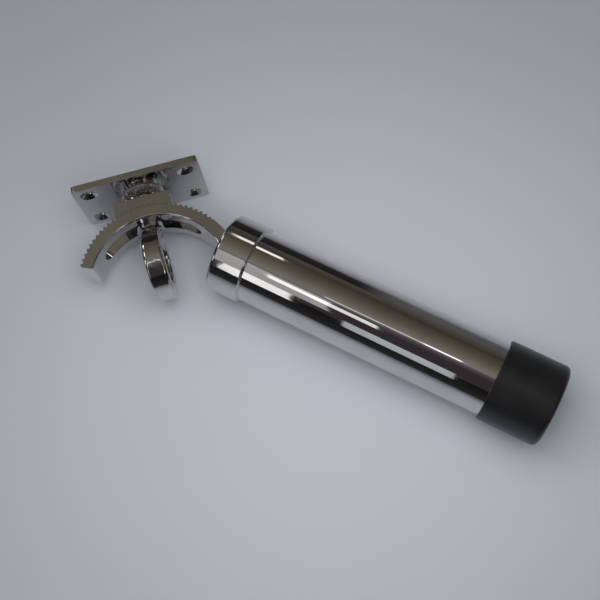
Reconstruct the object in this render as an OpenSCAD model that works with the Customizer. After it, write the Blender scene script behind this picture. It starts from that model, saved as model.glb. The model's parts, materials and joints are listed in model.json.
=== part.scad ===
// Adjustable rod holder with a side-mount plate, lying with its toothed arc level.
// The origin is the centre of the plate's back face. +Y points out of that face, towards what the
// plate is bolted to. X runs along the plate's length, and the tube swings about Z.

/* [Base plate] */
// Length of the plate along X
plate_l = 78; // [76:1:90]
// Height of the plate along Z
plate_h = 50; // [50:1:60]
// Thickness of the plate
plate_t = 4; // [3.5:0.5:5]
// Radius of the plate's corners
plate_corner_r = 2.5; // [1:0.5:5]
// Spacing of the screw holes along X
hole_gap_x = 60; // [56:1:60]
// Spacing of the screw holes along Z
hole_gap_z = 32; // [30:1:36]
// Diameter of a screw hole
hole_d = 5.5; // [4.5:0.5:6]
// Diameter of the countersink at the front face
countersink_d = 10.5; // [9:0.5:11]

/* [Neck and saddle] */
// Distance from the plate's front face to the saddle's back
neck_l = 8.6; // [8:0.2:9]
// Radius of the neck's waist
neck_r = 11.5; // [10:0.5:12]
// Radius of the neck where it meets the saddle
neck_flare_r = 17; // [15:0.5:17.5]
// Radius of the concave sweep between waist and saddle
neck_sweep_r = 7; // [6:0.5:7.5]
// Radius of the weld bead round the foot of the neck
plate_bead_r = 1.8; // [1:0.1:2.2]
// Length of the saddle along X
saddle_l = 34.5; // [32:0.5:34.5]
// Radial gap between the saddle's teeth and the arc's teeth
mesh_gap = 0.25; // [0.15:0.05:0.3]

/* [Toothed arc] */
// Radius of the arc's smooth inner face
arc_r = 40.5; // [40:0.5:41]
// Radius of the tooth tips
tip_r = 48.5; // [48:0.1:49]
// Depth of a tooth
tooth_depth = 1.4; // [1:0.1:1.6]
// Height of the arc and of the saddle along Z
arc_h = 29; // [27:0.5:29]
// Whole teeth between the stud's axis and the smooth shank beside the tube
teeth_to_shank = 13; // [13:1:14]
// Whole teeth between the stud's axis and the arc's free end
teeth_to_free_end = 16; // [15:1:16]
// Width of the slot
slot_w = 13; // [12.6:0.2:13.4]
// Angle from the stud's axis to the slot's end beside the tube
slot_to_shank = 46.5; // [44:0.5:47]
// Angle from the stud's axis to the slot's end beside the free end
slot_to_free_end = 48.5; // [48:0.5:50]

/* [Clamp] */
// Diameter of the stud
stud_d = 8; // [7:0.5:8]
// Length of the stud's rounded tip
stud_tip = 1; // [0.5:0.5:2]
// Running clearance round the stud and on the washer's faces
running_gap = 0.1; // [0.05:0.01:0.1]
// Radius of the shaped washer
washer_r = 8.5; // [8:0.5:10]
// Thickness of the shaped washer at its middle
washer_t = 3; // [2.5:0.5:4]
// Radius of the ring nut's hub where it bears on the washer
hub_r = 7; // [6.5:0.5:8]
// Length of the hub's cone, which runs into the ring
hub_l = 8.6; // [8.2:0.2:8.8]
// Outer radius of the nut's ring
ring_r = 22; // [21:0.5:22]
// Width of the ring's strap along X
ring_w = 12; // [11:0.5:12.5]
// Thickness of the ring's strap
ring_t = 8; // [8:0.5:9]
// Rounding of the strap's edges
ring_edge_r = 2; // [1.5:0.5:2.5]
// Distance from the hub's face to the far side of the ring
nut_h = 45; // [45:0.5:46]

/* [Rod tube] */
// Outer diameter of the tube
tube_d = 45; // [44:0.5:46]
// Wall of the tube
tube_wall = 1.5; // [1.2:0.1:2]
// Length from the cup's outer face to the end of the sleeve
holder_l = 211.5; // [200:0.5:240]
// Length of the cup
cup_l = 20.5; // [18:0.5:24]
// Outer radius of the cup and of the sleeve
cup_r = 24.5; // [24:0.1:25]
// Rounding of the cup's edges
cup_edge_r = 2; // [1:0.5:2.5]
// Thickness of the cup's floor
cup_floor = 3.5; // [3:0.5:5]
// Diameter of the drain hole in the cup's floor
drain_d = 7; // [5:0.5:8]
// Length of the rubber sleeve
sleeve_l = 36; // [30:0.5:40]
// Thickness of the sleeve beyond the tube's end
sleeve_lip = 3.5; // [3:0.5:5]
// Rounding of the sleeve's outer end
sleeve_edge_r = 3; // [1:0.5:3]

/* [Hidden] */
$fn = 96;
e = 0.02;
steel = [0.78, 0.79, 0.81];
bead = [0.68, 0.69, 0.72];
rubber = [0.05, 0.05, 0.055];

// Places along -Y, from the plate's back face to the far side of the ring
front_y = -plate_t;
saddle_y = front_y - neck_l;
arc_y = front_y - 62.9;
washer_y = arc_y + arc_r - running_gap;
hub_y = washer_y - washer_t;
stud_end_y = hub_y - 6.6;
ring_y = hub_y - nut_h + ring_r;
thread_l = 7.5;
hub_end_r = 4.5;

// Teeth: flats at the tips and at the roots, as angles, and where the saddle's row ends
tooth_pitch = 4;
root_r = tip_r - tooth_depth;
tip_flat = 0.45;
root_flat = 0.6;
saddle_teeth = 6;
saddle_depth = 40;

// The tube's place: the middle of the cup's outer face, from the arc's centre
tube_angle = -42;
cup_x = 40.9;
cup_y = 11.4;
tube_r = tube_d / 2;
bore_r = tube_r - tube_wall;
tube_end = holder_l - sleeve_lip;
drain_offset = -14;

// The arc's shank, which runs into the cup's face, and its weld bead
shank_r = tip_r - 0.4;
shank_from = 8;
shank_to = 90 - (teeth_to_shank + 0.5) * tooth_pitch + root_flat / 2;
arc_bead_r = 1.2;
foot_low = -2.4;
foot_high = 6.4;

// The slot's round ends are drilled this much wider than its straight sides
slot_ease = 0.1;

// Point at a radius and an angle
function polar(r, a) = [r * cos(a), r * sin(a)];

// A tooth k pitches from the stud's axis: half a root, the tip's flat and half a root
function tooth(k, grow) = let (a = 90 + k * tooth_pitch, half = tooth_pitch / 2)
    [polar(root_r + grow, a - half + root_flat / 2), polar(tip_r + grow, a - tip_flat / 2),
     polar(tip_r + grow, a + tip_flat / 2), polar(root_r + grow, a + half - root_flat / 2)];

// Fan from the arc's centre out to a row of teeth
module toothed_fan(first, last, grow) {
    polygon(concat([[0, 0]], [for (k = [first:last]) each tooth(k, grow)]));
}

// Fan from the arc's centre, wider than the arc
module plain_fan(from, to) { polygon([[0, 0], polar(80, from), polar(80, to)]); }

// A flat outline given a height along Z, about the middle
module slab(h) { translate([0, 0, -h / 2]) linear_extrude(h) children(); }

// Children about the Z axis moved to the arc's centre
module at_arc() { translate([0, arc_y, 0]) children(); }

// Children that stand on the XY plane, turned to point along -Y from y0
module outward(y0) { translate([0, y0, 0]) rotate([90, 0, 0]) children(); }

// Children that stand on the XY plane, turned to point along the tube from the cup's outer face
module along_tube() {
    translate([cup_x, arc_y + cup_y, 0]) rotate([0, 0, tube_angle]) rotate([0, 90, 0]) children();
}

// Rectangle about the origin with round corners
module rounded(l, h, r) {
    square([l - 2 * r, h], center = true);
    square([l, h - 2 * r], center = true);
    for (x = [-1, 1], y = [-1, 1]) translate([x * (l / 2 - r), y * (h / 2 - r)]) circle(r);
}

// Half section of a disc, from the axis to r, with its outer edges rounded to r0 below and r1 above
module disc_section(r, h, r0, r1) {
    translate([0, r0]) square([r, h - r0 - r1]);
    square([r - max(r0, r1), h]);
    translate([r - r0, r0]) circle(r0);
    translate([r - r1, h - r1]) circle(r1);
    square([r - r0, r0 + e]);
    translate([0, h - r1 - e]) square([r - r1, r1 + e]);
}

// Plate with rounded corners and four countersunk screw holes
module base_plate() color(steel) difference() {
    outward(0) linear_extrude(plate_t) rounded(plate_l, plate_h, plate_corner_r);
    sink = (countersink_d - hole_d) / 2;
    for (x = [-1, 1], z = [-1, 1]) translate([x * hole_gap_x / 2, 0, z * hole_gap_z / 2]) {
        outward(1) cylinder(d = hole_d, h = plate_t + 2);
        outward(front_y + sink) cylinder(d1 = hole_d, d2 = countersink_d + 2 * e, h = sink + e);
    }
}

// Weld bead round the foot of the neck, standing on the plate
module plate_weld() color(bead) outward(front_y) rotate_extrude()
    translate([neck_r, 0]) intersection() {
        circle(plate_bead_r);
        square(plate_bead_r);
    }

// Round neck that flares out to the saddle, cut level with it above and below
module neck() color(steel) intersection() {
    outward(front_y) rotate_extrude() difference() {
        square([neck_flare_r, neck_l]);
        translate([neck_r + neck_sweep_r, 0]) circle(neck_sweep_r);
    }
    translate([0, front_y - neck_l / 2, 0])
        cube([2 * neck_flare_r + 2, neck_l + 2, arc_h - 1], center = true);
}

// Block with teeth on its hollow side and a hole for the stud
module saddle() color(steel) difference() {
    slab(arc_h) difference() {
        translate([-saddle_l / 2, arc_y + saddle_depth])
            square([saddle_l, saddle_y - arc_y - saddle_depth]);
        at_arc() toothed_fan(-saddle_teeth, saddle_teeth, mesh_gap);
    }
    outward(saddle_y + 1) cylinder(d = stud_d, h = 30);
}

// Stud fixed in the saddle, standing through the arc's slot
module stud() color(bead) outward(saddle_y) rotate_extrude() {
    intersection() {
        translate([0, -stud_tip - e]) disc_section(stud_d / 2, saddle_y - stud_end_y + stud_tip + e,
                                                   stud_tip, stud_tip);
        square([stud_d, saddle_y - stud_end_y + e]);
    }
}

// Washer whose one side follows the arc's inner face
module clamp_washer() color(steel) difference() {
    intersection() {
        outward(washer_y + 1) cylinder(r = washer_r, h = washer_t + 1);
        at_arc() cylinder(r = arc_r - running_gap, h = 3 * washer_r, center = true);
    }
    outward(washer_y + 2) cylinder(r = stud_d / 2 + running_gap, h = washer_t + 4);
}

// Nut with a conical hub and a strap-like ring for the fingers
module ring_nut() color(steel) difference() {
    union() {
        outward(hub_y - running_gap)
            cylinder(r1 = hub_r, r2 = hub_end_r, h = hub_l);
        translate([0, ring_y, 0]) rotate([0, 90, 0]) rotate_extrude()
            translate([ring_r - ring_t / 2, 0]) rounded(ring_t, ring_w, ring_edge_r);
    }
    outward(hub_y + 1) cylinder(r = stud_d / 2 + running_gap, h = thread_l + 1);
}

// Slotted arc with teeth outside, a flat free end and a smooth shank that runs to the cup
module toothed_arc() color(steel) difference() {
    slab(arc_h) difference() {
        translate([0, arc_y]) difference() {
            union() {
                toothed_fan(-teeth_to_shank, teeth_to_free_end, 0);
                intersection() {
                    circle(shank_r);
                    plain_fan(shank_from, shank_to);
                }
            }
            circle(arc_r);
        }
        translate([cup_x, arc_y + cup_y]) rotate(tube_angle) translate([0, -50]) square(100);
    }
    at_arc() slot();
}

// Space that the slot takes out of the arc
module slot() {
    end_turn = asin(slot_w / 2 / arc_r);
    slab(slot_w) plain_fan(90 - slot_to_shank + end_turn, 90 + slot_to_free_end - end_turn);
    for (a = [90 - slot_to_shank + end_turn, 90 + slot_to_free_end - end_turn])
        rotate([0, 0, a]) translate([arc_r - 8, 0, 0])
            rotate([0, 90, 0]) cylinder(d = slot_w + slot_ease, h = 20);
}

// Weld bead round the foot of the shank, on the cup's outer face
module arc_weld() color(bead) along_tube() {
    for (y = [foot_low, foot_high]) translate([-arc_h / 2, y, 0])
        rotate([0, 90, 0]) cylinder(r = arc_bead_r, h = arc_h);
    for (x = [-1, 1]) translate([x * arc_h / 2, foot_low, 0]) {
        rotate([-90, 0, 0]) cylinder(r = arc_bead_r, h = foot_high - foot_low);
        sphere(arc_bead_r);
        translate([0, foot_high - foot_low, 0]) sphere(arc_bead_r);
    }
}

// Cup that closes the tube, with rounded edges and a drain hole
module end_cup() color(steel) along_tube() difference() {
    rotate_extrude() disc_section(cup_r, cup_l, cup_edge_r, cup_edge_r / 2);
    translate([0, 0, cup_floor]) cylinder(r = tube_r, h = cup_l);
    translate([0, drain_offset, -1]) cylinder(d = drain_d, h = cup_floor + 2);
}

// Seam between the cup's rim and the tube
module cup_seam() color(bead) along_tube() translate([0, 0, cup_l]) rotate_extrude()
    translate([tube_r, 0]) intersection() {
        circle(0.7);
        square(1);
    }

// Tube that takes the rod's butt
module rod_tube() color(steel) along_tube() difference() {
    translate([0, 0, cup_floor]) cylinder(r = tube_r, h = tube_end - cup_floor);
    cylinder(r = bore_r, h = holder_l);
}

// Rubber sleeve over the tube's mouth
module mouth_sleeve() color(rubber) along_tube() difference() {
    translate([0, 0, holder_l - sleeve_l]) rotate_extrude()
        disc_section(cup_r, sleeve_l, 0.6, sleeve_edge_r);
    translate([0, 0, holder_l - sleeve_l - 1]) cylinder(r = tube_r, h = tube_end - holder_l + sleeve_l + 1);
    cylinder(r = bore_r, h = holder_l + 1);
}

base_plate();
plate_weld();
neck();
saddle();
stud();
clamp_washer();
ring_nut();
toothed_arc();
arc_weld();
end_cup();
cup_seam();
rod_tube();
mouth_sleeve();
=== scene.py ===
import json
from math import cos, hypot, pi, radians, sin, sqrt, tau

import bmesh
import bpy
import numpy as np
from mathutils import Matrix, Vector, noise


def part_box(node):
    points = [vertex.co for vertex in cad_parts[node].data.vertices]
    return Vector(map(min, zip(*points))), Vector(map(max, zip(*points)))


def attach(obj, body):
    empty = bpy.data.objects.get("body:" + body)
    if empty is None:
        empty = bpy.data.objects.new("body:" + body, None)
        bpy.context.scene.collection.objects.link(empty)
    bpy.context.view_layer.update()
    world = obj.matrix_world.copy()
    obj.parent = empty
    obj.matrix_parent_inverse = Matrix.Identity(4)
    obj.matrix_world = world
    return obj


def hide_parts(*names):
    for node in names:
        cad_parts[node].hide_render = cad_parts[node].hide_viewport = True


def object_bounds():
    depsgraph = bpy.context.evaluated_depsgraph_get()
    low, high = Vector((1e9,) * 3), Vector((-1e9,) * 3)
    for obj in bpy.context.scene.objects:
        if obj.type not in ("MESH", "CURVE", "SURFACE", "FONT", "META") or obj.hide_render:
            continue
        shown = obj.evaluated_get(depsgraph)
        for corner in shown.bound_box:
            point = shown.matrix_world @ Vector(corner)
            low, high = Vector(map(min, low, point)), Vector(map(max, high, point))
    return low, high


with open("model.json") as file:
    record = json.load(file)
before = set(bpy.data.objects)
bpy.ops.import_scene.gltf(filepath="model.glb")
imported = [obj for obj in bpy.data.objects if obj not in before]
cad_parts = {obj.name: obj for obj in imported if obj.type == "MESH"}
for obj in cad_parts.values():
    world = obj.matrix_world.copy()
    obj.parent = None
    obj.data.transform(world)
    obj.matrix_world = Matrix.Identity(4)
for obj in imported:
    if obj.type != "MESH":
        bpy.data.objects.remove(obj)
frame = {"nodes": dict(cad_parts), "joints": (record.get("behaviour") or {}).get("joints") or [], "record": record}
CAD_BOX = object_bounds()

# Meshes are worked out in millimetres, in the row frame, and scaled by MM when they are made.
MM = 0.001
JOINTS = {joint["name"]: joint for joint in frame["joints"]}
SOCKET = next(m for m in frame["record"]["mounts"] if m["name"] == "rod_socket")


def box_mm(node):
    """Lowest and highest corners of a CAD node, in millimetres."""
    low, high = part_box(node)
    return low / MM, high / MM


# ---------------------------------------------------------------- sizes, in millimetres
PLATE_FRONT_Y = box_mm("base_plate")[0].y
SADDLE_BACK_Y = box_mm("neck")[0].y
ARC_CENTRE_Y = JOINTS["tube_sweep"]["pos_m"][1] / MM

NECK_R = 11.5
NECK_SWEEP_R = 7.0
NECK_FLARE_R = 17.0
NECK_HALF_H = 14.0
NECK_ROWS = 56
NECK_COLUMNS = 224
LUMP_SIZE = 3.4
PIT_SIZE = 1.7
PLATE_BEAD_R = 1.8
PLATE_BEAD_DROPS = 40

STUD_R = 4.0
STUD_PITCH = 1.25
STUD_THREAD_DEPTH = 0.55
STUD_ROWS_PER_TURN = 10
STUD_COLUMNS = 40
STUD_TIP_Y = box_mm("stud")[0].y

HUB_TOP_Y = box_mm("ring_nut")[1].y
HUB_R = 7.0
HUB_END_R = 4.5
HUB_L = 8.6
RING_R = 22.0
RING_HALF_W = 6.0
RING_T = 8.0
RING_EDGE_R = 2.0
RING_Y = box_mm("ring_nut")[0].y + RING_R
NUT_BORE_R = 4.1
NUT_BORE_L = 7.4
NUT_VOXEL = 0.5
NUT_WAVE_DEPTH = 0.035
NUT_SLOPE_STEP = 0.02

ARC_R = 40.5
ARC_HALF_H = 14.5
ARC_EDGE_R = 1.1
SLOT_HALF_W = 6.5
SLOT_RIM_R = 0.9
TOOTH_EDGE_R = 0.14

TUBE_R = 22.5
TUBE_SEGMENTS = 288
BORE_R = SOCKET["dims"]["r_mm"]
SOCKET_L = SOCKET["dims"]["length_mm"]
CUP_R = 24.5
CUP_L = 20.5
CUP_FLOOR = 3.5
DRAIN_R = 3.5
DRAIN_OFFSET = -14.0
DRAIN_LIP_R = 0.7
HOLDER_L = CUP_FLOOR + SOCKET_L
SLEEVE_L = 36.0
SLEEVE_LIP = 3.5
TUBE_END = HOLDER_L - SLEEVE_LIP
ARC_FOOT_HALF_H = 14.5
ARC_FOOT_LOW = -2.4
ARC_FOOT_HIGH = 6.4
ARC_BEAD_R = 1.2
ARC_BEAD_DROPS = 42
SEAM_R = 0.5
SEAM_DROPS = 90

# Frame of the tube: its third axis runs from the cup's outer face to the mouth, its first is -Z
TUBE_AXIS = Vector(SOCKET["axis"]).normalized()
TUBE_START = Vector(SOCKET["pos_m"]) / MM - TUBE_AXIS * (SOCKET_L / 2 + CUP_FLOOR)
TUBE_ACROSS = Vector((-TUBE_AXIS.y, TUBE_AXIS.x, 0))
TUBE_FRAME = Matrix((Vector((0, 0, -1)), TUBE_ACROSS, TUBE_AXIS)).transposed().to_4x4()
TUBE_FRAME.translation = TUBE_START

# Frame of the neck and stud: its third axis runs out of the plate's front, along -Y
FRONT_FRAME = Matrix((Vector((1, 0, 0)), Vector((0, 0, 1)), Vector((0, -1, 0)))).transposed().to_4x4()


# ---------------------------------------------------------------- camera, floor and light
CAMERA_PLACE = Vector((0.0610, -0.2659, 0.5255))
CAMERA_TARGET = Vector((0.0766, -0.0971, 0.0))
CAMERA_ROLL = radians(-9.87)
CAMERA_LENS = 55.9
CAMERA_SENSOR = 36.0


def make_camera():
    data = bpy.data.cameras.new("camera")
    data.lens = CAMERA_LENS
    data.sensor_width = CAMERA_SENSOR
    data.clip_start = 0.01
    camera = bpy.data.objects.new("camera", data)
    bpy.context.scene.collection.objects.link(camera)
    aim = (CAMERA_TARGET - CAMERA_PLACE).to_track_quat("-Z", "Y").to_matrix().to_4x4()
    roll = Matrix.Rotation(CAMERA_ROLL, 4, "Z")
    camera.matrix_world = Matrix.Translation(CAMERA_PLACE) @ aim @ roll
    bpy.context.scene.camera = camera


def make_light(name, place, aim, size, power, colour=(1, 1, 1), reflected=True):
    """A soft rectangular light. One that isn't reflected lights the floor but never shows in the steel."""
    data = bpy.data.lights.new(name, "AREA")
    data.shape = "RECTANGLE"
    data.size, data.size_y = size
    data.energy = power
    data.color = colour
    light = bpy.data.objects.new(name, data)
    bpy.context.scene.collection.objects.link(light)
    light.location = place
    light.rotation_euler = (Vector(aim) - Vector(place)).to_track_quat("-Z", "Y").to_euler()
    light.visible_glossy = reflected
    light.visible_camera = False
    return light


# Centre of the tube, which the studio is arranged round
STUDIO_CENTRE = (TUBE_START + TUBE_AXIS * HOLDER_L / 2) * MM
STUDIO_ACROSS = -TUBE_ACROSS
STUDIO_R = 2.5
RADIANCE_TO_POWER = pi


def strip(name, tilt, along, width, length, radiance, colour=(1, 1, 1)):
    """A softbox on the arch over the tube, with all angles in degrees. tilt is its place on the arch, from
    the far horizon over the top, and along its angle towards the mouth. width is measured along the arch
    and length along the tube."""
    up = Vector((0, 0, 1))
    ring = -STUDIO_ACROSS * cos(radians(tilt)) + up * sin(radians(tilt))
    towards = ring * cos(radians(along)) + TUBE_AXIS * sin(radians(along))
    size = (2 * STUDIO_R * sin(radians(length / 2)), 2 * STUDIO_R * sin(radians(width / 2)))
    power = radiance * RADIANCE_TO_POWER * size[0] * size[1]
    place = STUDIO_CENTRE + towards * STUDIO_R
    light = make_light(name, place, STUDIO_CENTRE, size, power, colour)
    back = towards.normalized()
    side = (TUBE_AXIS - back * TUBE_AXIS.dot(back)).normalized()
    turn = Matrix((side, back.cross(side), back)).transposed()
    light.rotation_euler = turn.to_euler()


def make_lights():
    """The softboxes that show as streaks on the tube, four small ones that only the lumpy and rounded
    pieces catch, and two fills for the table."""
    strip("key_softbox", 115, -10, 9, 9, 1.1)
    strip("key_glow", 120, -15, 29, 11, 0.42)
    strip("low_softbox", 145, -15.2, 20, 5.6, 1.3)
    strip("window", 148, -3.5, 18, 9, 0.56, (0.90, 0.97, 1.0))
    strip("ceiling_strip", 99, -6, 3.2, 8, 0.5, (0.97, 0.96, 1.0))
    strip("ceiling_end", 99, -0.5, 3.2, 3, 1.7, (0.97, 0.96, 1.0))
    strip("far_strip", 49.5, -16, 7, 4, 1.25)
    strip("glint_left", 62, -52, 12, 10, 3.4)
    strip("glint_high", 96, -42, 9, 9, 3.4)
    strip("glint_near", 140, -48, 12, 9, 2.8)
    strip("glint_right", 118, 44, 12, 9, 3.0)
    over_table = (0.085, -0.145, 0.28)
    make_light("floor_fill", over_table, (0.085, -0.145, 0), (0.3, 0.3), 0.58, reflected=False)
    make_light("room_fill", (0.0, 0.0, 2.6), (0.0, 0.0, 0), (3.0, 3.0), 17, reflected=False)


class Nodes:
    """Short calls for building a node tree."""

    def __init__(self, tree):
        self.tree = tree
        tree.nodes.clear()

    def add(self, kind, inputs=None, **settings):
        node = self.tree.nodes.new(kind)
        for name, value in settings.items():
            setattr(node, name, value)
        for socket, value in (inputs or {}).items():
            if isinstance(value, bpy.types.NodeSocket):
                self.tree.links.new(value, node.inputs[socket])
            else:
                node.inputs[socket].default_value = value
        return node

    def noise(self, where, scale, detail=2.0, roughness=0.5):
        inputs = {"Vector": where, "Scale": scale, "Detail": detail, "Roughness": roughness}
        return self.add("ShaderNodeTexNoise", inputs).outputs["Fac"]

    def ramp(self, factor, stops, interpolation="LINEAR"):
        node = self.add("ShaderNodeValToRGB", {"Fac": factor})
        node.color_ramp.interpolation = interpolation
        elements = node.color_ramp.elements
        while len(elements) < len(stops):
            elements.new(1.0)
        for element, (place, colour) in zip(elements, stops):
            element.position = place
            element.color = (*colour, 1.0) if len(colour) == 3 else colour
        return node.outputs["Color"]

    def remap(self, value, low, high, to_low, to_high, smooth=False):
        kind = "SMOOTHSTEP" if smooth else "LINEAR"
        inputs = {"Value": value, "From Min": low, "From Max": high, "To Min": to_low, "To Max": to_high}
        return self.add("ShaderNodeMapRange", inputs, interpolation_type=kind).outputs["Result"]

    def math(self, operation, a, b):
        return self.add("ShaderNodeMath", {0: a, 1: b}, operation=operation).outputs["Value"]


def make_world():
    """A dim room: a brown ceiling that is lighter over the tube, dark walls that are a little lighter on
    the far side towards the mouth, and a pale backdrop."""
    world = bpy.data.worlds.new("room")
    world.use_nodes = True
    bpy.context.scene.world = world
    n = Nodes(world.node_tree)
    direction = n.add("ShaderNodeTexCoord").outputs["Generated"]
    height = n.add("ShaderNodeSeparateXYZ", {"Vector": direction}).outputs["Z"]
    dot = n.add("ShaderNodeVectorMath", {0: direction, 1: tuple(STUDIO_ACROSS)}, operation="DOT_PRODUCT")
    across = dot.outputs["Value"]
    ceiling = n.ramp(n.remap(across, -1, 1, 0, 1), [
        (0.07, (0.085, 0.078, 0.072)), (0.13, (0.055, 0.048, 0.036)), (0.205, (0.085, 0.075, 0.055)),
        (0.295, (0.108, 0.10, 0.075)), (0.395, (0.15, 0.14, 0.112)), (0.5, (0.21, 0.20, 0.175)),
        (0.585, (0.25, 0.24, 0.21)), (0.64, (0.10, 0.085, 0.095)), (0.72, (0.045, 0.036, 0.042))])
    lifted = n.math("SUBTRACT", height, n.math("MULTIPLY", across, 0.1))
    over = n.remap(lifted, 0.44, 0.54, 0, 1, smooth=True)
    along = n.add("ShaderNodeVectorMath", {0: direction, 1: tuple(TUBE_AXIS)}, operation="DOT_PRODUCT")
    open_side = n.remap(along.outputs["Value"], -0.14, -0.09, 0, 0.09, smooth=True)
    far_side = n.remap(across, -0.35, -0.6, 0, 1, smooth=True)
    wall = n.math("ADD", n.remap(height, -0.05, 0.5, 0.030, 0.010), n.math("MULTIPLY", open_side, far_side))
    walls = n.add("ShaderNodeCombineColor", {"Red": wall, "Green": wall, "Blue": wall}).outputs["Color"]
    room = n.add("ShaderNodeMix", {"Factor": over, "A": walls, "B": ceiling}, data_type="RGBA")
    seen = n.add("ShaderNodeBackground", {"Color": room.outputs["Result"], "Strength": 1.0})
    backdrop = n.add("ShaderNodeBackground", {"Color": (0.50, 0.53, 0.58, 1), "Strength": 1.0})
    camera_ray = n.add("ShaderNodeLightPath").outputs["Is Camera Ray"]
    both = n.add("ShaderNodeMixShader", {0: camera_ray, 1: seen.outputs[0], 2: backdrop.outputs[0]})
    n.add("ShaderNodeOutputWorld", {"Surface": both.outputs[0]})


# ---------------------------------------------------------------- materials
def principled(name, build):
    """A material whose build(nodes, shader, place) links what varies over the surface."""
    material = bpy.data.materials.new(name)
    material.use_nodes = True
    n = Nodes(material.node_tree)
    place = n.add("ShaderNodeTexCoord").outputs["Object"]
    shader = n.add("ShaderNodeBsdfPrincipled")
    n.add("ShaderNodeOutputMaterial", {"Surface": shader.outputs["BSDF"]})
    build(n, shader, place)
    return material


def link(n, shader, socket, output):
    n.tree.links.new(output, shader.inputs[socket])


def steel(name, dark, light, rough, wave, wave_scale, scratch):
    """Steel that varies a little in tone and gloss, with a slow wave of the surface and fine scratches."""

    def build(n, shader, place):
        shader.inputs["Metallic"].default_value = 1.0
        tone = n.noise(place, 60, 3)
        link(n, shader, "Base Color", n.ramp(tone, [(0.3, dark), (0.7, light)]))
        stretched = n.add("ShaderNodeMapping", {"Vector": place, "Scale": (90, 700, 700)})
        lines = n.noise(stretched.outputs["Vector"], 3.0, 4, 0.6)
        blotch = n.noise(place, 150, 4)
        worn = n.math("ADD", n.math("MULTIPLY", lines, 0.5), n.math("MULTIPLY", blotch, 0.5))
        link(n, shader, "Roughness", n.remap(worn, 0.35, 0.65, rough[0], rough[1]))
        slow = n.noise(place, wave_scale, 2)
        first = n.add("ShaderNodeBump", {"Height": slow, "Strength": 1.0, "Distance": wave})
        inputs = {"Height": lines, "Strength": 1.0, "Distance": scratch, "Normal": first.outputs["Normal"]}
        link(n, shader, "Normal", n.add("ShaderNodeBump", inputs).outputs["Normal"])

    return principled(name, build)


def rubber_build(n, shader, place):
    tone = n.noise(place, 90, 4)
    blacks = [(0.3, (0.007, 0.007, 0.008)), (0.75, (0.013, 0.013, 0.0145))]
    link(n, shader, "Base Color", n.ramp(tone, blacks))
    dust = n.noise(place, 420, 5, 0.65)
    link(n, shader, "Roughness", n.remap(dust, 0.3, 0.7, 0.28, 0.42))
    inputs = {"Height": n.noise(place, 1500, 3), "Strength": 1.0, "Distance": 0.00003}
    link(n, shader, "Normal", n.add("ShaderNodeBump", inputs).outputs["Normal"])
    shader.inputs["Specular IOR Level"].default_value = 0.45


def floor_build(n, shader, place):
    tone = n.noise(place, 2.5, 3)
    pales = [(0.3, (0.50, 0.535, 0.60)), (0.7, (0.54, 0.575, 0.64))]
    link(n, shader, "Base Color", n.ramp(tone, pales))
    link(n, shader, "Roughness", n.remap(n.noise(place, 30, 4), 0.3, 0.7, 0.30, 0.42))
    shader.inputs["Specular IOR Level"].default_value = 0.35


def make_materials():
    """Each steel: its darkest and lightest tone, roughness range, wave height and scale, scratch depth."""
    polished = ((0.58, 0.57, 0.56), (0.66, 0.65, 0.645))
    return {
        "polished_steel": steel("polished_steel", *polished, (0.03, 0.075), 0.00010, 55, 0.0000012),
        "cast_steel": steel("cast_steel", *polished, (0.03, 0.09), 0.00035, 120, 0.0000015),
        "plate_steel": steel("plate_steel", *polished, (0.04, 0.09), 0.00030, 45, 0.0000016),
        "tube_steel": steel("tube_steel", *polished, (0.02, 0.05), 0.00004, 14, 0.0000006),
        "turned_steel": steel("turned_steel", (0.5, 0.49, 0.48), (0.6, 0.59, 0.58), (0.16, 0.28),
                              0.00003, 200, 0.000003),
        "weld_bead": steel("weld_bead", (0.42, 0.40, 0.37), (0.6, 0.58, 0.55), (0.12, 0.3),
                           0.0002, 260, 0.000004),
        "black_rubber": principled("black_rubber", rubber_build),
    }


# ---------------------------------------------------------------- mesh building
def make_piece(name, verts, faces, body, material, replaces, sharp=None):
    """A smooth-shaded piece from millimetres. Edges sharper than the angle sharp stay crisp."""
    mesh = bpy.data.meshes.new(name)
    mesh.from_pydata([tuple(Vector(v) * MM) for v in verts], [], faces)
    mesh.validate()
    mesh.materials.append(material)
    piece = bpy.data.objects.new(name, mesh)
    bpy.context.scene.collection.objects.link(piece)
    mesh.shade_smooth()
    if sharp is not None:
        mesh.set_sharp_from_angle(angle=sharp)
    piece.modifiers.new("flat_faces", "WEIGHTED_NORMAL").keep_sharp = True
    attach(piece, body)
    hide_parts(replaces)
    return piece


def rounded_outline(corners, steps=6):
    """A closed outline whose corners (x, y, radius) are rounded with arcs of that many steps."""
    points = []
    count = len(corners)
    for i, (x, y, radius) in enumerate(corners):
        here = Vector((x, y))
        if radius == 0:
            points.append((x, y))
            continue
        before = (Vector(corners[i - 1][:2]) - here).normalized()
        after = (Vector(corners[(i + 1) % count][:2]) - here).normalized()
        half = before.angle(after) / 2
        reach = radius / sin(half)
        centre = here + (before + after).normalized() * reach
        start = here + before * (reach * cos(half)) - centre
        turn = (pi - 2 * half) * (1 if before.cross(after) < 0 else -1)
        for k in range(steps + 1):
            a = turn * k / steps
            points.append((centre.x + start.x * cos(a) - start.y * sin(a),
                           centre.y + start.x * sin(a) + start.y * cos(a)))
    return points


def lathe(outline, place, segments=192):
    """A closed outline of (radius, distance) points turned about the third axis of place."""
    verts, faces = [], []
    count = len(outline)
    for i in range(segments):
        a = tau * i / segments
        verts += [place @ Vector((r * cos(a), r * sin(a), t)) for r, t in outline]
        following = (i + 1) % segments
        for j in range(count):
            k = (j + 1) % count
            faces.append((i * count + j, i * count + k, following * count + k, following * count + j))
    return verts, faces


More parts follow.
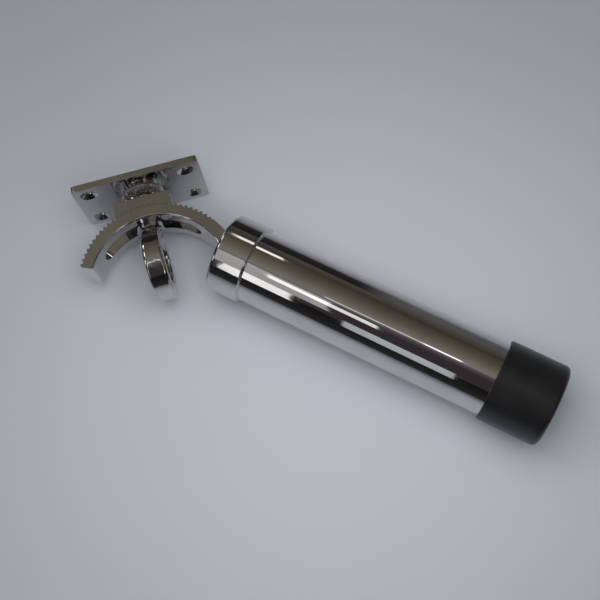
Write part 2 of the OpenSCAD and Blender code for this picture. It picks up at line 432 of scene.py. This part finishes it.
def grid(rows, columns, point, caps=True):
    """A tube-like surface: point(row, column) with the columns closed into rings and the ends capped."""
    verts = [point(i, j) for i in range(rows) for j in range(columns)]
    faces = []
    for i in range(rows - 1):
        for j in range(columns):
            k = (j + 1) % columns
            faces.append((i * columns + j, i * columns + k, (i + 1) * columns + k, (i + 1) * columns + j))
    if caps:
        faces.append(tuple(reversed(range(columns))))
        faces.append(tuple((rows - 1) * columns + j for j in range(columns)))
    return verts, faces


def sweep_ring(centre_line, radius, sides=14):
    """A closed bead. centre_line is a list of (centre, outward, up) and radius(i) its radius there."""
    verts, faces = [], []
    count = len(centre_line)
    for i, (centre, outward, up) in enumerate(centre_line):
        for j in range(sides):
            a = tau * j / sides
            verts.append(centre + (outward * cos(a) + up * sin(a)) * radius(i))
            k, following = (j + 1) % sides, (i + 1) % count
            faces.append((i * sides + j, following * sides + j, following * sides + k, i * sides + k))
    return verts, faces


def loose_object(name, verts, faces):
    """A closed object in millimetres that a piece is worked out from. It's removed again by worked_out."""
    mesh = bpy.data.meshes.new(name)
    mesh.from_pydata([tuple(v) for v in verts], [], faces)
    work = bmesh.new()
    work.from_mesh(mesh)
    bmesh.ops.remove_doubles(work, verts=work.verts, dist=0.0001)
    bmesh.ops.recalc_face_normals(work, faces=work.faces)
    work.to_mesh(mesh)
    work.free()
    thing = bpy.data.objects.new(name, mesh)
    bpy.context.scene.collection.objects.link(thing)
    return thing


def worked_out(thing, *helpers):
    """The mesh of a loose object with its modifiers applied, as a bmesh. The loose objects are removed."""
    bpy.context.view_layer.update()
    evaluated = thing.evaluated_get(bpy.context.evaluated_depsgraph_get())
    work = bmesh.new()
    work.from_mesh(evaluated.to_mesh())
    evaluated.to_mesh_clear()
    for done in (thing, *helpers):
        bpy.data.objects.remove(done)
    return work


def lists(work):
    """The vertices and faces of a bmesh, which is freed."""
    work.verts.index_update()
    verts = [v.co.copy() for v in work.verts]
    faces = [tuple(v.index for v in face.verts) for face in work.faces]
    work.free()
    return verts, faces


# ---------------------------------------------------------------- pieces on the mount
def lumps(point, size, seed):
    """Smooth noise between about -1 and 1, with lumps of that size."""
    return noise.noise(point / size + Vector((seed, 0, 0)))


def neck_point(row, column):
    """The neck's flare, hand-ground: its surface dips in shallow lumps and facets."""
    last = NECK_ROWS - 1
    along = (SADDLE_BACK_Y - PLATE_FRONT_Y) * row / last
    reach = min(abs(along), NECK_SWEEP_R - 0.02)
    flare = NECK_R + NECK_SWEEP_R - sqrt(NECK_SWEEP_R ** 2 - reach ** 2)
    radius = min(flare, NECK_FLARE_R)
    a = tau * column / NECK_COLUMNS
    x, z = radius * cos(a), radius * sin(a)
    z = z / (1 + abs(z / NECK_HALF_H) ** 10) ** 0.1
    surface = Vector((x, PLATE_FRONT_Y + along, z))
    dip = 0.5 + 0.5 * lumps(surface, LUMP_SIZE, 3.1)
    pits = 0.5 + 0.5 * lumps(surface, PIT_SIZE, 8.7)
    fade = min(1.0, row / 4, (last - row) / 4)
    depth = fade * (0.9 * dip + 0.55 * pits)
    inward = Vector((-cos(a), 0, -sin(a)))
    return surface + inward * depth


def make_neck(materials):
    verts, faces = grid(NECK_ROWS, NECK_COLUMNS, neck_point)
    make_piece("neck_flare", verts, faces, "mount", materials["cast_steel"], "neck")


def bead_line(place, radius, distance, count):
    """A circle of bead centres about the third axis of place, with its outward and up directions."""
    turn = place.to_3x3()
    line = []
    for i in range(count):
        a = tau * i / count
        outward = Vector((cos(a), sin(a), 0))
        centre = place @ (outward * radius + Vector((0, 0, distance)))
        line.append((centre, turn @ outward, turn @ Vector((0, 0, 1))))
    return line


def ripple(count, ripples, radius, depth):
    """The radius of a bead laid in overlapping drops."""

    def at(i):
        drop = (i * ripples / count) % 1.0
        return radius * (1 - depth * abs(2 * drop - 1) ** 1.5)

    return at


def make_plate_weld(materials):
    count = 360
    line = bead_line(FRONT_FRAME, NECK_R, -PLATE_FRONT_Y, count)
    verts, faces = sweep_ring(line, ripple(count, PLATE_BEAD_DROPS, PLATE_BEAD_R, 0.16))
    make_piece("plate_weld_bead", verts, faces, "mount", materials["weld_bead"], "plate_weld")


def make_stud(materials):
    """The stud, with its thread cut as one helical groove and its tip chamfered."""
    length = SADDLE_BACK_Y - STUD_TIP_Y
    rows = int(length / STUD_PITCH * STUD_ROWS_PER_TURN)

    def point(row, column):
        y = length * row / (rows - 1)
        turn = column / STUD_COLUMNS
        a = tau * turn
        phase = (y / STUD_PITCH + turn) % 1.0
        groove = STUD_THREAD_DEPTH * min(1.0, 1.3 * abs(2 * phase - 1))
        chamfer = max(0.0, y - length + 1.0)
        radius = min(STUD_R - groove, STUD_R - chamfer)
        return Vector((radius * cos(a), SADDLE_BACK_Y - y, radius * sin(a)))

    verts, faces = grid(rows, STUD_COLUMNS, point)
    make_piece("threaded_stud", verts, faces, "mount", materials["turned_steel"], "stud",
               sharp=radians(40))


# ---------------------------------------------------------------- ring nut
def smooth_least(a, b, reach):
    """The lower of two fields, blended over reach so that the shapes they hold run into each other."""
    share = np.clip(0.5 + 0.5 * (b - a) / reach, 0, 1)
    return b * (1 - share) + a * share - reach * share * (1 - share)


def smooth_most(a, b, reach):
    return -smooth_least(-a, -b, reach)


def nut_field(p):
    """Distance-like field of the nut in millimetres: below 0 inside."""
    x, y, z = p[:, 0], p[:, 1], p[:, 2]
    radial = np.abs(np.hypot(y - RING_Y, z) - RING_R + RING_T / 2) - RING_T / 2 + RING_EDGE_R
    sideways = np.abs(x) - RING_HALF_W + RING_EDGE_R
    corner = np.hypot(np.maximum(radial, 0), np.maximum(sideways, 0))
    ring = corner + np.minimum(np.maximum(radial, sideways), 0) - RING_EDGE_R
    off_axis = np.hypot(x, z)
    slope = (HUB_R - HUB_END_R) / HUB_L
    side = (off_axis - HUB_R - (y - HUB_TOP_Y) * slope) / hypot(1, slope)
    hub = smooth_most(side, smooth_most(y - HUB_TOP_Y, HUB_TOP_Y - HUB_L - y, 0.1), 1.2)
    bore = np.maximum(off_axis - NUT_BORE_R, HUB_TOP_Y - NUT_BORE_L - y)
    return smooth_most(smooth_least(ring, hub, 2.4), -bore, 0.4)


def slopes(points, field):
    """The field's slope at each point."""
    step = NUT_SLOPE_STEP
    shifts = np.eye(3) * step
    return np.stack([(field(points + s) - field(points - s)) / (2 * step) for s in shifts], axis=1)


def settle(points, field, rounds=8):
    """Moves points along the field's slope until they lie on its zero surface."""
    for _ in range(rounds):
        slope = slopes(points, field)
        steep = np.maximum((slope ** 2).sum(1), 0.05)
        points = points - np.clip(field(points) / steep, -0.5, 0.5)[:, None] * slope
    return points


def rough_nut():
    """The nut's ring and hub as overlapping solids, joined by a voxel remesh."""
    inner_r = RING_R - RING_T
    ring = rounded_outline([(inner_r, -RING_HALF_W, RING_EDGE_R), (RING_R, -RING_HALF_W, RING_EDGE_R),
                            (RING_R, RING_HALF_W, RING_EDGE_R), (inner_r, RING_HALF_W, RING_EDGE_R)])
    across = Matrix((Vector((0, 1, 0)), Vector((0, 0, 1)), Vector((1, 0, 0)))).transposed().to_4x4()
    across.translation = Vector((0, RING_Y, 0))
    verts, faces = lathe(ring, across, 96)
    bore_r = NUT_BORE_R + 0.2
    hub = [(bore_r, 0.2), (HUB_R - 0.5, 0.2), (HUB_END_R + 0.6, HUB_L), (bore_r, HUB_L)]
    hub_place = FRONT_FRAME.copy()
    hub_place.translation = Vector((0, HUB_TOP_Y, 0))
    hub_verts, hub_faces = lathe(hub, hub_place, 96)
    faces += [tuple(i + len(verts) for i in face) for face in hub_faces]
    rough = loose_object("nut_rough", verts + hub_verts, faces)
    remesh = rough.modifiers.new("remesh", "REMESH")
    remesh.mode = "VOXEL"
    remesh.voxel_size = NUT_VOXEL
    return lists(worked_out(rough))


def make_ring_nut(materials):
    """The nut: the rough mesh is settled on the exact shape, then waved a little like hand-polished steel."""
    verts, faces = rough_nut()
    points = settle(np.array(verts, float), nut_field)
    waves = np.array([lumps(Vector(p), 3.0, 5.0) + 0.4 * lumps(Vector(p), 1.5, 9.0) for p in points])
    outside = np.clip((HUB_TOP_Y - 1.2 - points[:, 1]) / 1.5, 0, 1)
    depth = (waves + 1.2) * NUT_WAVE_DEPTH * outside
    points -= slopes(points, nut_field) * depth[:, None]
    make_piece("eye_nut", [Vector(p) for p in points], faces, "nut",
               materials["cast_steel"], "ring_nut")


# ---------------------------------------------------------------- pieces on the holder
def make_tube(materials):
    outline = rounded_outline([(BORE_R, CUP_FLOOR, 0.2), (TUBE_R, CUP_FLOOR, 0.2),
                               (TUBE_R, TUBE_END, 0.4), (BORE_R, TUBE_END, 0.4)], 4)
    verts, faces = lathe(outline, TUBE_FRAME, TUBE_SEGMENTS)
    make_piece("drawn_tube", verts, faces, "holder", materials["tube_steel"], "rod_tube")


def is_sharp(edge, least=28):
    return len(edge.link_faces) == 2 and edge.calc_face_angle(0) > radians(least)


def is_at_drain(edge):
    return all(hypot(v.co.x, v.co.y - DRAIN_OFFSET) < DRAIN_R + 0.05 for v in edge.verts)


def make_cup(materials):
    """The cup, turned in one piece, with a drain hole bored off its axis and its lips rounded."""
    outline = rounded_outline([(0, 0, 0), (CUP_R, 0, 2.0), (CUP_R, CUP_L, 0.9), (TUBE_R, CUP_L, 0.35),
                               (TUBE_R, CUP_FLOOR, 0.3), (0, CUP_FLOOR, 0)], 8)
    cup = loose_object("cup_blank", *lathe(outline, Matrix.Identity(4), TUBE_SEGMENTS))
    rod = [(0, -1), (DRAIN_R, -1), (DRAIN_R, CUP_FLOOR + 1), (0, CUP_FLOOR + 1)]
    drill = loose_object("drill", *lathe(rod, Matrix.Translation((0, DRAIN_OFFSET, 0)), 72))
    bore = cup.modifiers.new("bore", "BOOLEAN")
    bore.operation = "DIFFERENCE"
    bore.solver = "EXACT"
    bore.object = drill
    work = worked_out(cup, drill)
    bmesh.ops.dissolve_limit(work, angle_limit=radians(0.05), verts=work.verts, edges=work.edges)
    lips = [edge for edge in work.edges if is_sharp(edge) and is_at_drain(edge)]
    bmesh.ops.bevel(work, geom=lips, offset=DRAIN_LIP_R, offset_type="OFFSET", segments=5, profile=0.5,
                    affect="EDGES")
    verts, faces = lists(work)
    make_piece("closed_cup", [TUBE_FRAME @ v for v in verts], faces, "holder",
               materials["polished_steel"], "end_cup", sharp=radians(40))


def make_sleeve(materials):
    start = HOLDER_L - SLEEVE_L
    outline = rounded_outline([(TUBE_R, start, 0.3), (CUP_R, start, 0.7), (CUP_R, HOLDER_L, 3.0),
                               (BORE_R, HOLDER_L, 1.2), (BORE_R, TUBE_END, 0.2), (TUBE_R, TUBE_END, 0.2)], 8)
    verts, faces = lathe(outline, TUBE_FRAME, 224)
    make_piece("rubber_sleeve", verts, faces, "holder", materials["black_rubber"],
               "mouth_sleeve")


def make_cup_seam(materials):
    count = 540
    line = bead_line(TUBE_FRAME, TUBE_R, CUP_L, count)
    verts, faces = sweep_ring(line, ripple(count, SEAM_DROPS, SEAM_R, 0.12), 10)
    make_piece("cup_seam_bead", verts, faces, "holder", materials["polished_steel"], "cup_seam")


def foot_line(step=0.3):
    """Bead centres round the foot of the arc's shank, on the cup's outer face."""
    low, high, half, corner = ARC_FOOT_LOW, ARC_FOOT_HIGH, ARC_FOOT_HALF_H, 1.4
    outline = rounded_outline([(-half, low, corner), (half, low, corner),
                               (half, high, corner), (-half, high, corner)], 8)
    turn = TUBE_FRAME.to_3x3()
    line = []
    for i, start in enumerate(outline):
        run = Vector(outline[(i + 1) % len(outline)]) - Vector(start)
        outward = turn @ Vector((run.y, -run.x, 0)).normalized()
        parts = max(1, int(run.length / step))
        for k in range(parts):
            at = Vector(start) + run * (k / parts)
            line.append((TUBE_FRAME @ Vector((at.x, at.y, 0)), outward, turn @ Vector((0, 0, 1))))
    return line


def make_arc_weld(materials):
    line = foot_line()
    verts, faces = sweep_ring(line, ripple(len(line), ARC_BEAD_DROPS, ARC_BEAD_R, 0.16), 12)
    make_piece("arc_weld_bead", verts, faces, "holder", materials["weld_bead"], "arc_weld")


def from_arc_axis(vertex):
    return hypot(vertex.co.x / MM, vertex.co.y / MM - ARC_CENTRE_Y)


def is_inner_edge(edge):
    """The arc's upper and lower edges along its smooth inner face."""
    level = all(abs(abs(v.co.z / MM) - ARC_HALF_H) < 0.02 for v in edge.verts)
    return is_sharp(edge) and level and all(abs(from_arc_axis(v) - ARC_R) < 0.1 for v in edge.verts)


def is_slot_rim(edge):
    """The slot's edge on the inner face."""
    level = all(abs(v.co.z / MM) < SLOT_HALF_W + 0.1 for v in edge.verts)
    return is_sharp(edge) and level and all(abs(from_arc_axis(v) - ARC_R) < 0.15 for v in edge.verts)


def make_arc(materials):
    """The toothed arc: the CAD node's faces in a mesh of its own, with polished, rounded edges."""
    node = frame["nodes"]["toothed_arc"]
    mesh = node.data.copy()
    mesh.transform(node.matrix_world)
    work = bmesh.new()
    work.from_mesh(mesh)
    bpy.data.meshes.remove(mesh)
    bmesh.ops.remove_doubles(work, verts=work.verts, dist=0.002 * MM)
    bmesh.ops.dissolve_limit(work, angle_limit=radians(0.3), verts=work.verts, edges=work.edges,
                             delimit={"NORMAL"})
    for pick, radius in ((is_slot_rim, SLOT_RIM_R), (is_inner_edge, ARC_EDGE_R), (is_sharp, TOOTH_EDGE_R)):
        edges = [edge for edge in work.edges if pick(edge)]
        bmesh.ops.bevel(work, geom=edges, offset=radius * MM, offset_type="OFFSET", segments=5, profile=0.5,
                        affect="EDGES", clamp_overlap=True, miter_outer="ARC")
    verts, faces = lists(work)
    make_piece("slotted_arc", [v / MM for v in verts], faces, "holder",
               materials["polished_steel"], "toothed_arc", sharp=radians(28))


# ---------------------------------------------------------------- CAD nodes that stay
def finish_node(node, material, bevel):
    """Gives a CAD node its material, and edges that a polishing wheel has rounded."""
    piece = frame["nodes"][node]
    for slot in piece.material_slots:
        slot.material = material
    weld = piece.modifiers.new("weld", "WELD")
    weld.merge_threshold = 0.000002
    edge = piece.modifiers.new("edge", "BEVEL")
    edge.width = bevel * MM
    edge.segments = 3
    edge.limit_method = "ANGLE"
    edge.angle_limit = radians(28)
    edge.miter_outer = "MITER_ARC"
    edge.use_clamp_overlap = True
    piece.modifiers.new("flat_faces", "WEIGHTED_NORMAL").keep_sharp = False


def make_floor():
    """The table: a wide flat plane, level with the object's lowest point."""
    low = CAD_BOX[0].z
    size = 4.0
    mesh = bpy.data.meshes.new("floor")
    mesh.from_pydata([(x * size, y * size, low) for x, y in ((-1, -1), (1, -1), (1, 1), (-1, 1))],
                     [], [(0, 1, 2, 3)])
    mesh.materials.append(principled("pale_floor", floor_build))
    floor = bpy.data.objects.new("floor", mesh)
    bpy.context.scene.collection.objects.link(floor)


bpy.context.scene.view_settings.view_transform = "Standard"
make_camera()
make_world()
make_lights()
MATERIALS = make_materials()
for maker in (make_neck, make_plate_weld, make_stud, make_ring_nut, make_tube, make_cup, make_sleeve,
              make_cup_seam, make_arc_weld, make_arc):
    maker(MATERIALS)
finish_node("base_plate", MATERIALS["plate_steel"], 0.35)
finish_node("saddle", MATERIALS["polished_steel"], 0.14)
finish_node("clamp_washer", MATERIALS["polished_steel"], 0.3)

make_floor()
